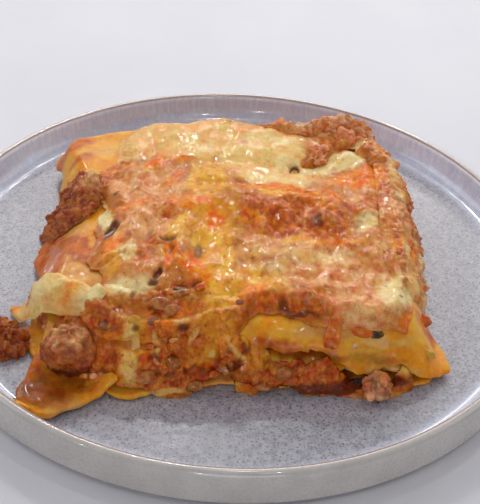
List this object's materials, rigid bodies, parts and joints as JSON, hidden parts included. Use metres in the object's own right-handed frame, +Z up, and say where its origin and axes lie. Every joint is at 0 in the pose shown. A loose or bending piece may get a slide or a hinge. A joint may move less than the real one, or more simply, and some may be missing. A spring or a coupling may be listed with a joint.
{
  "type": "slice of lasagne on a plate",
  "caption": "Square slice of baked lasagne with pasta sheets, mince filling and a browned cheese crust, lying on a round coupe plate with a low upright rim.",
  "frame": {"origin": "middle of the plate's foot, on the surface it stands on", "axes": "+Z up, -Y towards the front cut side of the slice, +X to its right"},
  "size_m": [0.22, 0.22, 0.0382],
  "materials": {
    "plate_glaze": "speckled grey-blue gloss glaze inside, off-white gloss glaze outside",
    "pasta": "cooked pasta, moist and slightly translucent",
    "mince": "crumbly minced meat in oily tomato sauce",
    "mince_burnt": "dark, dry, browned mince",
    "cheese_crust": "baked cheese, browned in patches, lightly oiled"
  },
  "bodies": {
    "root": {"plate": "plate_glaze", "pasta_bottom": "pasta", "pasta_middle": "pasta", "pasta_top": "pasta", "pasta_tongue": "pasta", "mince_lower": "mince", "mince_upper": "mince", "mince_corner": "mince", "mince_back": "mince", "mince_spill": "mince", "mince_crumb": "mince", "mince_burnt": "mince_burnt", "cheese_crust": "cheese_crust"}
  },
  "joints": []
}
